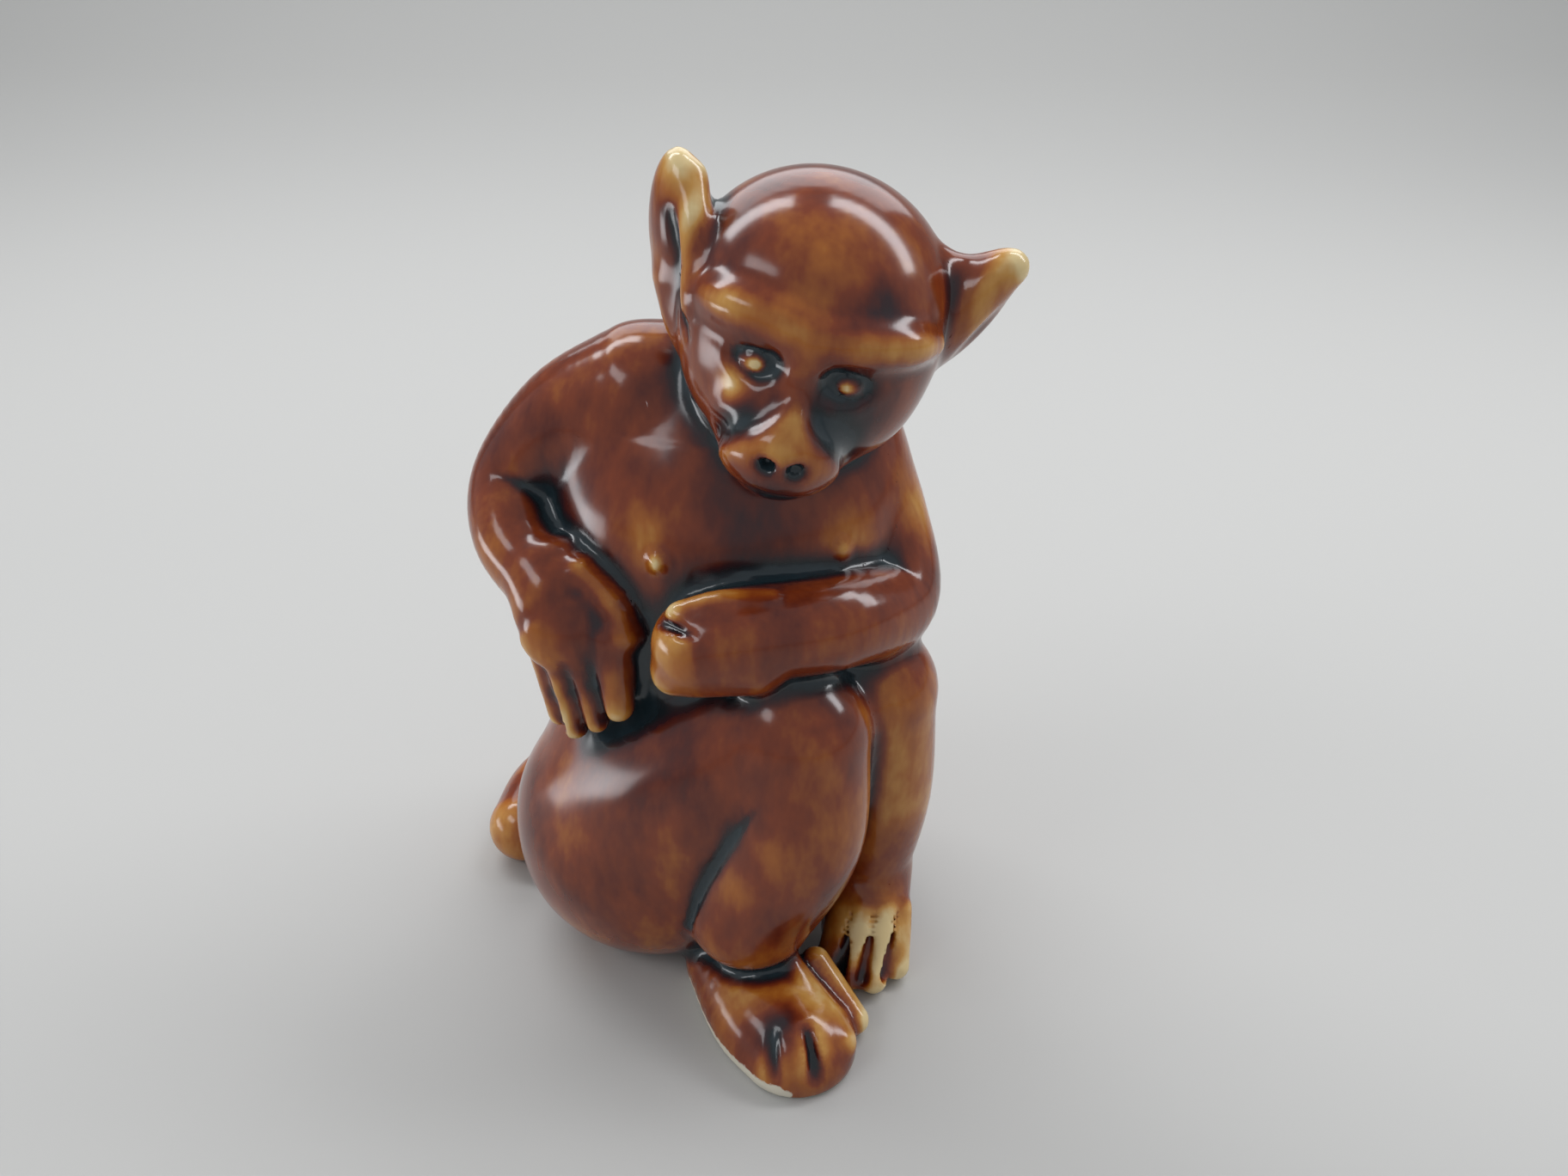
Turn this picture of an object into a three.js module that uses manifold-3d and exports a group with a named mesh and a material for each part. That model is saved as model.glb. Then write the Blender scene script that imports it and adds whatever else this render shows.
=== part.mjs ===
// A seated monkey figurine in amber-glazed earthenware, about 107 mm high to its ear tip.
// It has no mechanism. It is modelled as the eleven cast sections that a potter joins with liquid
// clay before glazing and firing: torso, head, ears, arms, legs, feet and tail. The torso and the
// head are hollow, and their hollows drain through a hole in the flat base.
// Right and left are the monkey's own. Millimetres, +Z up, the monkey faces -Y.
import * as THREE from "three";
import { mergeVertices } from "three/addons/utils/BufferGeometryUtils.js";
import { LoftGeometry } from "three/addons/geometries/LoftGeometry.js";
import Module from "manifold-3d";

const wasm = await Module();
wasm.setup();

// Driving dimensions
const SEAM = 0.3; // luted joint between two sections
const WALL = 4; // cast wall of the torso and head
const POUR_HOLE_R = 5;
const POUR_HOLE_PLACE = [-2, 12];
const NECK_VENT_R = 4;
const NECK_VENT_PLACE = [9, 2.5];
const NECK_VENT_FOOT = 60; // the vent starts inside the torso's hollow

// The head is tilted to its left, turned and bowed about the middle of the skull.
const SKULL_PLACE = [12.2, -3, 90.2];
const SKULL_RADII = [14.7, 15.2, 13.6];
const HEAD_TILT = 14;
const HEAD_TURN = -4;
const HEAD_BOW = 11;

// Fineness of the round shapes
const EGG_SIDES = 20;
const HOLLOW_SIDES = 16;
const LIMB_SIDES = 14;
const FINE_SIDES = 10; // on features under 5 mm
const END_RINGS = 2;
const THIN = 0.5; // the least half width of a barrel's ring

// The order is how the matrices act: first the bow about x, then the turn about z, then the tilt
// about y.
const turned = (x, y, z) => {
  const [bow, tilt, swing] = [x, y, z].map(THREE.MathUtils.degToRad);
  const matrix = new THREE.Matrix4().makeRotationY(tilt);
  matrix.multiply(new THREE.Matrix4().makeRotationZ(swing));
  return matrix.multiply(new THREE.Matrix4().makeRotationX(bow));
};
const UPRIGHT = new THREE.Matrix4();
const HEAD_FRAME = turned(HEAD_BOW, HEAD_TILT, HEAD_TURN).setPosition(...SKULL_PLACE);

// A closed geometry as a solid that can be joined and cut.
function solid(geometry) {
  const bare = new THREE.BufferGeometry();
  bare.setAttribute("position", geometry.getAttribute("position"));
  bare.setIndex(geometry.getIndex());
  const welded = mergeVertices(bare, 1e-4);
  const vertProperties = new Float32Array(welded.attributes.position.array);
  const triVerts = new Uint32Array(welded.index.array);
  return new wasm.Manifold(new wasm.Mesh({ numProp: 3, vertProperties, triVerts }));
}

// A solid's surface as a geometry.
function surface(body) {
  const { vertProperties, triVerts } = body.getMesh();
  const geometry = new THREE.BufferGeometry();
  geometry.setAttribute("position", new THREE.BufferAttribute(vertProperties, 3));
  geometry.setIndex(new THREE.BufferAttribute(triVerts, 1));
  geometry.computeVertexNormals();
  return geometry;
}

const join = (solids) => solids.reduce((whole, next) => whole.add(next));
const cut = (body, tools) => tools.reduce((rest, tool) => rest.subtract(tool), body);

// An ellipsoid, leaned about its own centre and then placed in a frame.
function egg(centre, radii, options = {}) {
  const { grow = 0, sides = EGG_SIDES, lean = UPRIGHT, frame = UPRIGHT } = options;
  const rows = Math.round(0.6 * sides);
  const ball = new THREE.SphereGeometry(1, sides, rows).rotateX(Math.PI / 2);
  ball.scale(...radii.map((radius) => radius + grow));
  ball.applyMatrix4(lean).translate(...centre).applyMatrix4(frame);
  return solid(ball);
}

// A limb with round ends through stations [x, y, z, radius]: a smooth centre line, and a radius
// that runs smoothly from station to station. flat squeezes its section upright, for a foot.
function limb(stations, options = {}) {
  const { grow = 0, rings = 8, sides = LIMB_SIDES, flat = 1, frame = UPRIGHT } = options;
  const level = stations.reduce((sum, [, , z]) => sum + z, 0) / stations.length;
  const places = stations.map(([x, y, z]) => new THREE.Vector3(x, y, (z - level) / flat));
  const widths = stations.map(([, , , radius]) => new THREE.Vector3(radius + grow, 0, 0));
  const line = new THREE.CatmullRomCurve3(places, false, "catmullrom");
  const width = new THREE.CatmullRomCurve3(widths, false, "catmullrom");
  const { tangents, normals, binormals } = line.computeFrenetFrames(rings, false);
  const sections = [];
  // latitude is 0 on the limb itself, and runs to a quarter turn over each round end
  const ring = (i, latitude) => {
    const share = i / rings;
    const radius = width.getPoint(line.getUtoTmapping(share)).x;
    const centre = line.getPointAt(share).addScaledVector(tangents[i], radius * Math.sin(latitude));
    const points = [];
    for (let j = 0; j < sides; j++) {
      const angle = (2 * Math.PI * j) / sides;
      const point = centre.clone();
      point.addScaledVector(normals[i], radius * Math.cos(latitude) * Math.cos(angle));
      point.addScaledVector(binormals[i], radius * Math.cos(latitude) * Math.sin(angle));
      points.push(point);
    }
    sections.push(points);
  };
  const latitudeOf = (k) => (Math.PI / 2) * (k / (END_RINGS + 0.4));
  for (let k = END_RINGS; k > 0; k--) ring(0, -latitudeOf(k));
  for (let i = 0; i <= rings; i++) ring(i, 0);
  for (let k = 1; k <= END_RINGS; k++) ring(rings, latitudeOf(k));
  const geometry = new LoftGeometry(sections, { capStart: true, capEnd: true });
  geometry.scale(1, 1, flat).translate(0, 0, level).applyMatrix4(frame);
  return solid(geometry);
}

// An upright barrel through elliptical rings [z, x, y, half width, half depth].
function barrel(rings, { grow = 0, sides = EGG_SIDES } = {}) {
  const places = rings.map(([z, x, y]) => new THREE.Vector3(x, y, z));
  const widths = rings.map(([, , , width, depth]) => new THREE.Vector3(width, depth, 0));
  const line = new THREE.CatmullRomCurve3(places, false, "catmullrom");
  const half = new THREE.CatmullRomCurve3(widths, false, "catmullrom");
  const count = 2 * (rings.length - 1);
  const sections = [];
  for (let i = 0; i <= count; i++) {
    const share = i / count;
    const { x, y, z } = line.getPoint(share);
    const { x: width, y: depth } = half.getPoint(share).addScalar(grow);
    const height = z + grow * (2 * share - 1);
    const points = [];
    for (let j = 0; j < sides; j++) {
      const angle = (2 * Math.PI * j) / sides;
      const across = Math.max(width, THIN) * Math.cos(angle);
      points.push(new THREE.Vector3(x + across, y + Math.max(depth, THIN) * Math.sin(angle), height));
    }
    sections.push(points);
  }
  return solid(new LoftGeometry(sections, { capStart: true, capEnd: true }));
}

// An upright round bar, for drilling.
function bar([x, y], bottom, top, radius) {
  const geometry = new THREE.CylinderGeometry(radius, radius, top - bottom, LIMB_SIDES);
  return solid(geometry.rotateX(Math.PI / 2).translate(x, y, (bottom + top) / 2));
}

// Everything within reach below a level, as one block.
function below(level) {
  const reach = 120;
  return solid(new THREE.BoxGeometry(reach, reach, reach).translate(0, 0, level - reach / 2));
}

// Torso: a barrel that leans forward from a broad seat, with the shoulders, the belly and the flesh
// behind the right elbow.
const TORSO_RINGS = [
  [0, -2, 12, 15, 12.5],
  [5, -2.5, 12, 19.5, 16.5],
  [12, -3, 12, 21.5, 18.8],
  [22, -3, 12, 21.5, 19],
  [34, -2, 10.7, 20.8, 18.6],
  [46, -0.5, 8.6, 19.6, 17.2],
  [60, 1, 6.6, 18.8, 15.4],
  [70, 2, 6.5, 17.5, 13.4],
  [78, 3, 6.8, 13, 10],
  [84, 3.5, 7, 4, 3],
];
const torso = (grow) =>
  join([
    barrel(TORSO_RINGS, { grow }),
    egg([-13, 6, 58], [8, 8, 12], { grow }),
    egg([1, -2, 48], [15, 10, 12], { grow }),
    egg([3.5, -1.6, 62], [17, 9, 12], { grow }),
    limb([[-9, 7, 73, 8.7], [4, 7, 76, 9], [14, 6, 69.5, 8.4]], { grow, rings: 6 }),
  ]);

// Head: skull, jaw, muzzle, brow ridge, nose, eyes and nostrils in its own frame, and the neck.
const BROW = [
  [-12, -7.4, 2.2, 1.4],
  [-6.2, -12.2, 3.9, 2.2],
  [0.4, -13.7, 3.5, 2.1],
  [6.8, -12.1, 3.8, 2.1],
  [12, -7.2, 2.8, 1.4],
];
const NOSE = [[0.1, -13.9, 2.2, 1.5], [0, -16.2, -2.4, 1.6], [-0.4, -18.6, -6.4, 2.3]];
const LEFT_OF_MIDDLE = -0.3; // the eyes and the nostrils stand a little off the middle plane
function head(grow) {
  const placed = { grow, frame: HEAD_FRAME };
  const flesh = join([
    egg([-0.4, 0.3, 0.5], SKULL_RADII, placed),
    egg([-0.2, -5, -6], [11.9, 10.2, 9], placed),
    egg([-0.4, -13, -8.4], [7.2, 8.2, 6.3], placed),
    limb(BROW, { ...placed, sides: FINE_SIDES, rings: 7 }),
    limb(NOSE, { ...placed, sides: FINE_SIDES, rings: 3 }),
    limb([[9, 2, 80, 10], [7, 5, 74, 10]], { grow, rings: 2 }),
  ]);
  const sunk = { grow: -grow, sides: FINE_SIDES, frame: HEAD_FRAME };
  const raised = { grow, sides: FINE_SIDES, frame: HEAD_FRAME };
  const both = (make) => [-1, 1].map((side) => make((distance) => side * distance + LEFT_OF_MIDDLE));
  const sockets = both((x) => egg([x(5), -15.1, -0.1], [3.2, 1.9, 1.9], sunk));
  const nostrils = both((x) => egg([x(1.7), -20.8, -8.2], [0.9, 1.6, 0.8], sunk));
  const eyes = both((x) => egg([x(4.6), -13, -0.5], [2, 1.7, 1.4], raised));
  return join([cut(flesh, [...sockets, ...nostrils]), ...eyes]);
}

// Ears: standing leaves, dished on their outer faces. The left one leans out and has a crest.
function ear(leaf, dish, lean, grow) {
  const placed = { sides: LIMB_SIDES, lean, frame: HEAD_FRAME };
  return cut(egg(...leaf, { grow, ...placed }), [egg(...dish, { grow: -grow, ...placed })]);
}
const rightEar = (grow) =>
  ear([[-15.9, 1, 3.6], [3.4, 5, 9]], [[-18.2, -2.9, 0.6], [2.3, 2.4, 8.2]], turned(0, -12, 25), grow);
const CREST = [[11, 1.6, 5.6, 3.4], [14.6, 1.4, 6.4, 2.8], [18.2, 0.8, 8.4, 1.9]];
const leftEar = (grow) =>
  join([
    ear([[15.9, 1, 2.8], [3.1, 4.8, 8.4]], [[18.6, -1.6, 0.6], [2.4, 2.6, 7.4]], turned(0, 20, -25), grow),
    limb(CREST, { grow, rings: 3, sides: FINE_SIDES, frame: HEAD_FRAME }),
  ]);

// Right arm: bent outwards at the elbow, its hand laid on the thigh.
const RIGHT_ARM = [
  [-8, 6, 76.6, 8.8],
  [-17, 7, 72.6, 7.4],
  [-24.3, 5.8, 65.6, 5.7],
  [-24, -0.5, 61, 5.1],
  [-18.9, -7, 57.3, 4.7],
];
const RIGHT_FINGERS = [
  [[-12.1, -10.7, 53.2, 2.9], [-11.3, -12.4, 44.3, 2]],
  [[-15.9, -12, 52.6, 1.6], [-14.3, -11.3, 41.4, 1.6]],
  [[-18.4, -11.7, 51.6, 1.7], [-17.2, -9.9, 39.4, 1.6]],
  [[-21, -10, 50.6, 1.7], [-19.8, -7.9, 39.6, 1.4]],
];
const rightArm = (grow) =>
  join([
    limb(RIGHT_ARM, { grow, rings: 12 }),
    egg([-16, -9, 54.2], [6.2, 4, 6.8], { grow, lean: turned(-20, -14, 12) }),
    ...RIGHT_FINGERS.map((finger) => limb(finger, { grow, rings: 2, sides: FINE_SIDES })),
  ]);

// Left arm: folded across the belly, its fist beside the right hand.
const LEFT_ARM = [
  [14, 5, 70.5, 8.6],
  [19.5, 3, 62, 6.6],
  [21.2, -3, 54.2, 6.2],
  [14.5, -12, 55.8, 5.6],
  [4, -16.2, 56.6, 5.5],
  [-1.1, -16.8, 55.8, 5.3],
];
const LEFT_KNUCKLES = [[-2.4, -17, 52.8, 3.4], [5, -17.6, 53.4, 3.2]];
const leftArm = (grow) =>
  join([limb(LEFT_ARM, { grow, rings: 14 }), limb(LEFT_KNUCKLES, { grow, rings: 3 })]);

// Legs: haunch or thigh, raised knee and shin.
const RIGHT_THIGH = [[-10, -1, 19, 17.2], [-2.5, -6, 29.6, 14.8], [8.8, -13, 42, 9.3]];
const rightLeg = (grow) =>
  join([
    limb(RIGHT_THIGH, { grow, rings: 5, sides: EGG_SIDES }),
    limb([[-12, 3, 16, 15], [0, -7, 16, 11]], { grow, rings: 3, sides: EGG_SIDES }),
    egg([-9, 1, 11], [16.5, 15.5, 13.5], { grow }),
    egg([-12.5, 2, 36], [8.5, 10, 10], { grow }),
    limb([[10.3, -14.5, 41.5, 8.6], [9.4, -16, 28, 9], [4.2, -15.3, 15.4, 8.5]], { grow, rings: 5 }),
  ]);
const leftLeg = (grow) =>
  join([
    limb([[8, 8, 20, 15], [14, 0, 33, 11], [19.5, -5, 43, 7.8]], { grow, rings: 5 }),
    limb([[20.5, -6, 42, 7], [21.3, -5, 26, 6.6], [19.8, -4, 11, 5.6]], { grow, rings: 6 }),
  ]);

// Feet: the right one is a low paddle with two toes folded along its side, and the left one stands
// on four toes that are ridges down its front.
const PADDLE = [[1.8, -13, 2.6, 6.6], [6.5, -21, 2.2, 8], [10.1, -26, 1.6, 7.6]];
const RIGHT_TOES = [
  [[9, -19.2, 7.9, 2], [15.6, -27.6, 3.6, 2]],
  [[12.6, -17.2, 6.6, 2], [17.6, -22.9, 2.2, 1.9]],
];
const LEFT_TOES = [
  [[18.8, -8.7, 8.4, 1.9], [16.6, -13.2, 2.4, 1.8]],
  [[21.1, -8.8, 8.4, 2], [19.4, -15.8, 2.1, 1.9]],
  [[23.2, -7.8, 8, 1.9], [22.5, -14, 2.1, 1.8]],
  [[24.6, -6.4, 7, 1.7], [24.9, -11.2, 2.1, 1.7]],
];
const toes = (list, grow) => list.map((toe) => limb(toe, { grow, rings: 2, sides: FINE_SIDES }));
const rightFoot = (grow) => join([limb(PADDLE, { grow, flat: 0.85 }), ...toes(RIGHT_TOES, grow)]);
const leftFoot = (grow) =>
  join([limb([[20.3, -4, 11, 5.8], [20.2, -9.2, 4.6, 5.6]], { grow, rings: 3 }), ...toes(LEFT_TOES, grow)]);

// Tail: leaves the pelvis low at the back and curls round to the right haunch.
const TAIL = [[-6, 27, 11, 6], [-18, 28, 7.5, 5.8], [-28, 21, 5.8, 5.6], [-30.8, 11.5, 5.1, 5.3]];
const tail = (grow) => limb(TAIL, { grow, rings: 10 });

// The hollows that the cast leaves, and the holes that join them and drain them.
const neckVent = bar(NECK_VENT_PLACE, NECK_VENT_FOOT, SKULL_PLACE[2], NECK_VENT_R);
const pourHole = bar(POUR_HOLE_PLACE, -WALL, 2 * WALL, POUR_HOLE_R);
const torsoHollow = barrel(TORSO_RINGS, { grow: -WALL, sides: HOLLOW_SIDES });
const inHead = { grow: -WALL, sides: HOLLOW_SIDES, frame: HEAD_FRAME };
const headHollow = egg([-0.4, 0.8, 0.5], SKULL_RADII, inHead);

// Name, form, hollows and colour of each section. Each yields to all the ones before it.
const SECTIONS = [
  ["torso", torso, [torsoHollow, neckVent, pourHole], 0x74351a],
  ["head", head, [headHollow, neckVent], 0x7c3a1c],
  ["right_ear", rightEar, [], 0xc08a4a],
  ["left_ear", leftEar, [], 0xb88244],
  ["right_arm", rightArm, [], 0x803c1c],
  ["left_arm", leftArm, [], 0x7a3a1c],
  ["right_leg", rightLeg, [], 0x7c3818],
  ["left_leg", leftLeg, [], 0x9a5c28],
  ["right_foot", rightFoot, [], 0xa8682e],
  ["left_foot", leftFoot, [], 0xb07434],
  ["tail", tail, [], 0x9c5c26],
];

const figure = new THREE.Group();
const earlier = [below(0)];
for (const [name, form, hollows, color] of SECTIONS) {
  const body = cut(form(0), [...earlier, ...hollows]);
  earlier.push(form(SEAM));
  const material = new THREE.MeshStandardMaterial({ color, roughness: 0.12, metalness: 0 });
  const mesh = new THREE.Mesh(surface(body), material);
  mesh.name = name;
  figure.add(mesh);
}

// The origin is the middle of the figure's box, at the surface it stands on.
const middle = new THREE.Box3().setFromObject(figure).getCenter(new THREE.Vector3());
figure.position.set(-middle.x, -middle.y, 0);

export default figure;
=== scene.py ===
"""A seated monkey figurine, cast in earthenware and covered with one thick amber-brown glaze.

The clay is worked in millimetres as fields: each section of the figure is an array that holds, at
every point of a block of space, how far that point lies outside the section (negative inside it).
The sections are then luted together, the skin is taken off the whole, and the glaze is laid on it.
The skin is cut into one closed piece for each section, so that neighbours share their edges exactly.
"""

import math

import bpy
import numpy as np
from mathutils import Matrix


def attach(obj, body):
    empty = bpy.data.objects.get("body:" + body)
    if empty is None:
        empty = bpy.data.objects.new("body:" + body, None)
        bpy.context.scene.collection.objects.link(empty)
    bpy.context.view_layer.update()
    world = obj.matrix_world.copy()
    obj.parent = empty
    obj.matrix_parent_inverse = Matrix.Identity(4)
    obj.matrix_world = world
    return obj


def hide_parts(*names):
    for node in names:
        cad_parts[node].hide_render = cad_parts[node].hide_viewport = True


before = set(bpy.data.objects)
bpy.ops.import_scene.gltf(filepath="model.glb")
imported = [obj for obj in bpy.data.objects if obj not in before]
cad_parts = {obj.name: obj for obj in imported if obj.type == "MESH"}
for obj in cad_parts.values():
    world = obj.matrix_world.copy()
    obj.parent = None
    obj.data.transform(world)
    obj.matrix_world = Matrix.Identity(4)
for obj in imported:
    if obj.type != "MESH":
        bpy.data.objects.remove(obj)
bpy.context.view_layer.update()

# ---------------------------------------------------------------------------------------------
# Torso: a pear of back, chest, belly and seat, slip-cast with a wall of about 4 mm.
# Everything else is luted to it, so the block of clay and the ways of working it start here.
# ---------------------------------------------------------------------------------------------
STEP = 0.47  # mm between the points where the clay is measured
REACH = 14.0  # mm, how far out a field is kept
LOW = np.array([-40.0, -39.0, -3.0])  # mm, the lowest corner of the block
HIGH = np.array([38.0, 38.0, 110.0])  # mm, the highest corner of the block
AXES = [np.arange(lo, hi, STEP, dtype=np.float32) for lo, hi in zip(LOW, HIGH)]
BLOCK = tuple(len(axis) for axis in AXES)


def no_clay():
    """A field with nothing in it yet."""
    return np.full(BLOCK, REACH, np.float32)


def soft_min(a, b, blend):
    """The lesser of a and b, less a quarter of blend where they are equal, fading to nothing where
    they differ by blend: two clays smeared together with a fillet."""
    if blend <= 0:
        return np.minimum(a, b)
    near = np.maximum(blend - np.abs(a - b), 0) / blend
    return np.minimum(a, b) - near * near * blend * 0.25


def soft_max(a, b, blend):
    """The greater of a and b with the same soft change from one to the other."""
    return -soft_min(-a, -b, blend)


def reach_of(low, high):
    """The slices of the block that lie within REACH of the box from low to high, and their axes."""
    cuts = []
    for axis, lo, hi in zip(AXES, low, high):
        first = max(int(np.searchsorted(axis, lo - REACH)) - 1, 0)
        last = min(int(np.searchsorted(axis, hi + REACH)) + 1, len(axis))
        cuts.append(slice(first, last))
    x = AXES[0][cuts[0]][:, None, None]
    y = AXES[1][cuts[1]][None, :, None]
    z = AXES[2][cuts[2]][None, None, :]
    return tuple(cuts), x, y, z


def add(clay, form, blend=0.0):
    """Presses a form onto the clay, with a fillet about as wide as blend in the joint."""
    distance, low, high = form
    cuts, x, y, z = reach_of(low, high)
    clay[cuts] = soft_min(clay[cuts], np.minimum(distance(x, y, z), REACH), blend)


def carve(clay, form, blend=0.0):
    """Takes a form out of the clay, with edges rounded over about the width of blend."""
    distance, low, high = form
    cuts, x, y, z = reach_of(low, high)
    clay[cuts] = soft_max(clay[cuts], -np.minimum(distance(x, y, z), REACH), blend)


def turn(axis, angle):
    """The matrix of a turn of angle degrees about one axis."""
    c, s = math.cos(math.radians(angle)), math.sin(math.radians(angle))
    rows = {
        "x": [[1, 0, 0], [0, c, -s], [0, s, c]],
        "y": [[c, 0, s], [0, 1, 0], [-s, 0, c]],
        "z": [[c, -s, 0], [s, c, 0], [0, 0, 1]],
    }
    return np.array(rows[axis])


def egg(centre, radii, lean=np.eye(3)):
    """An ellipsoid. Its distance is k (k - 1) / g, where k is the length of the place divided by
    the radii and g is the length of the place divided by their squares."""
    centre, radii = np.array(centre, float), np.array(radii, float)
    half = np.sqrt(((lean * radii) ** 2).sum(1))

    def distance(x, y, z):
        px, py, pz = x - centre[0], y - centre[1], z - centre[2]
        k, g = 0.0, 0.0
        for i, r in enumerate(radii):
            along = lean[0, i] * px + lean[1, i] * py + lean[2, i] * pz
            k = k + (along / r) ** 2
            g = g + (along / r**2) ** 2
        k = np.sqrt(k)
        return (k * (k - 1) / (np.sqrt(g) + 1e-6)).astype(np.float32)

    return distance, centre - half, centre + half


def smooth_line(stations, steps):
    """A Catmull-Rom curve through the stations, with steps points from one to the next. The radius
    is the fourth number of a station, and it is carried along as the places are."""
    s = np.array(stations, float)
    s = np.vstack([2 * s[0] - s[1], s, 2 * s[-1] - s[-2]])
    t = (np.arange(steps) / steps)[None, :, None]
    a, b, c, d = s[:-3, None], s[1:-2, None], s[2:-1, None], s[3:, None]
    curve = b + 0.5 * t * (c - a + t * (2 * a - 5 * b + 4 * c - d + t * (3 * (b - c) + d - a)))
    return np.vstack([curve.reshape(-1, s.shape[1]), s[-2]])


def limb(stations, steps=6, squeeze=None):
    """A round form along a smooth line of stations (x, y, z, radius): the least distance to any of
    its tapered links. squeeze = (direction, share) flattens it along a direction, to that share."""
    line = smooth_line(stations, steps)
    places, radii = line[:, :3], line[:, 3]
    low = (places - radii[:, None]).min(0)
    high = (places + radii[:, None]).max(0)
    middle = places.mean(0)
    flat = np.eye(3)
    if squeeze:
        direction = np.array(squeeze[0], float) / np.linalg.norm(squeeze[0])
        flat = flat + np.outer(direction, direction) * (1 / squeeze[1] - 1)
    places = (places - middle) @ flat

    def distance(x, y, z):
        p = [x - middle[0], y - middle[1], z - middle[2]]
        x, y, z = (flat[i, 0] * p[0] + flat[i, 1] * p[1] + flat[i, 2] * p[2] for i in range(3))
        least = None
        for start, stop, r0, r1 in zip(places[:-1], places[1:], radii[:-1], radii[1:]):
            link = stop - start
            qx, qy, qz = x - start[0], y - start[1], z - start[2]
            share = np.clip((qx * link[0] + qy * link[1] + qz * link[2]) / (link @ link), 0, 1)
            gap = (qx - share * link[0]) ** 2 + (qy - share * link[1]) ** 2
            gap = np.sqrt(gap + (qz - share * link[2]) ** 2) - (r0 + (r1 - r0) * share)
            least = gap if least is None else np.minimum(least, gap)
        return least.astype(np.float32)

    return distance, low, high


torso = no_clay()
add(torso, egg((-3, 12, 22), (21, 19, 23)))  # hips
add(torso, egg((-1, 9, 42), (18.5, 16.5, 19)), 12)  # waist
add(torso, egg((1, 6, 60), (18.5, 14.5, 22)), 12)  # ribs
add(torso, limb([(-9, 7, 73, 8.7), (4, 7, 76, 9), (14, 6, 69.5, 8.4)]), 8)  # shoulders
add(torso, egg((-13, 6, 58), (8, 8, 12)), 8)  # right flank
add(torso, egg((-2, 12, 9), (20, 17, 13.5)), 6)  # seat
add(torso, egg((1, -2, 48), (15, 10, 12)), 6)  # belly
add(torso, egg((3.5, -1.6, 62), (17, 9.0, 12)), 7)  # chest
for nipple in ((-5.9, -9.8, 62.7), (15.0, -7.8, 63.4)):
    add(torso, egg(nipple, (0.9, 1.6, 1.2)), 1.2)
spine = [(3, 25.5, 66, 1.4), (1, 29.2, 52, 1.5), (-1, 32.3, 38, 1.4), (-2, 34.0, 24, 0.6)]
carve(torso, limb(spine), 3)

# ---------------------------------------------------------------------------------------------
# Head: a round skull with a short muzzle, cast hollow and luted on at the neck, bowed and tilted.
# The brow ridge, the nose, the lids and the pouches under the eyes are rolls of clay laid on it.
# ---------------------------------------------------------------------------------------------
SKULL = np.array([12.2, -3.0, 90.2])  # mm, the middle of the head
HEAD_TURN = turn("y", 14) @ turn("z", -4) @ turn("x", 11)


def in_head(*places):
    """Stations given in the head's own frame, as stations of the figure."""
    return [(*(SKULL + HEAD_TURN @ np.array(place[:3])), *place[3:]) for place in places]


def head_egg(centre, radii, lean=np.eye(3)):
    """An ellipsoid of the head, placed and leaned in the head's own frame."""
    return egg(in_head(centre)[0], radii, HEAD_TURN @ lean)


head = no_clay()
add(head, head_egg((-0.4, 0.3, 0.5), (14.7, 15.2, 13.6)))  # skull
add(head, head_egg((-0.2, -5, -6), (11.9, 10.2, 9.0)), 5)  # jaw
add(head, head_egg((-0.4, -13.0, -8.4), (7.2, 8.2, 6.3)), 2.6)  # muzzle
brow = [
    (-12.0, -7.4, 2.2, 1.4),
    (-8.4, -11.2, 3.7, 2.2),
    (-3.8, -13.0, 4.0, 2.2),
    (0.4, -13.7, 3.5, 2.1),
    (5.0, -12.9, 3.8, 2.2),
    (9.4, -10.4, 3.6, 2.0),
    (12.0, -7.2, 2.8, 1.2),
]
add(head, limb(in_head(*brow)), 1.8)
bridge = [
    (0.1, -13.9, 2.2, 1.5),
    (-0.1, -15.4, -1.2, 1.5),
    (0.1, -16.9, -3.6, 1.7),
    (-0.4, -18.6, -6.4, 2.3),
]
add(head, limb(in_head(*bridge)), 1.6)
FACE_MIDDLE = -0.3  # mm, the line between the eyes stands a little to the right
for side in (-1, 1):
    socket = head_egg(
        (5.0 * side + FACE_MIDDLE, -15.1, -0.1),
        (3.2, 1.9, 1.9),
        turn("z", 19 * side) @ turn("y", 10 * side),
    )
    carve(head, socket, 0.9)
    eye = head_egg((4.6 * side + FACE_MIDDLE, -13.0, -0.5), (2.0, 1.7, 1.35), turn("y", 8 * side))
    add(head, eye, 0.3)
    lid = [(2.4, -13.3, 0.9, 0.4), (4.6, -13.9, 1.7, 0.5), (7.2, -12.7, 0.8, 0.4)]
    add(head, limb(in_head(*[(x * side + FACE_MIDDLE, *rest) for x, *rest in lid])), 0.5)
    pouch = [(3.0, -14.0, -3.5, 0.7), (5.2, -13.6, -3.1, 1.0), (8.2, -11.5, -1.3, 0.7)]
    add(head, limb(in_head(*[(x * side + FACE_MIDDLE, *rest) for x, *rest in pouch])), 1.0)
    nostril = head_egg((1.45 * side, -20.5, -7.5), (0.8, 1.1, 0.65))
    carve(head, nostril, 1.0)
left_crease = [
    (0.9, -17.2, -0.6, 0.5),
    (3.6, -17.4, -3.6, 0.8),
    (6.4, -15.8, -6.2, 0.9),
    (7.4, -13.6, -9.6, 0.5),
]
right_crease = [
    (-1.5, -17.5, -1.0, 0.3),
    (-4.0, -18.2, -3.9, 0.5),
    (-6.2, -17.5, -6.4, 0.7),
    (-7.4, -14.6, -9.4, 0.5),
]
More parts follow.
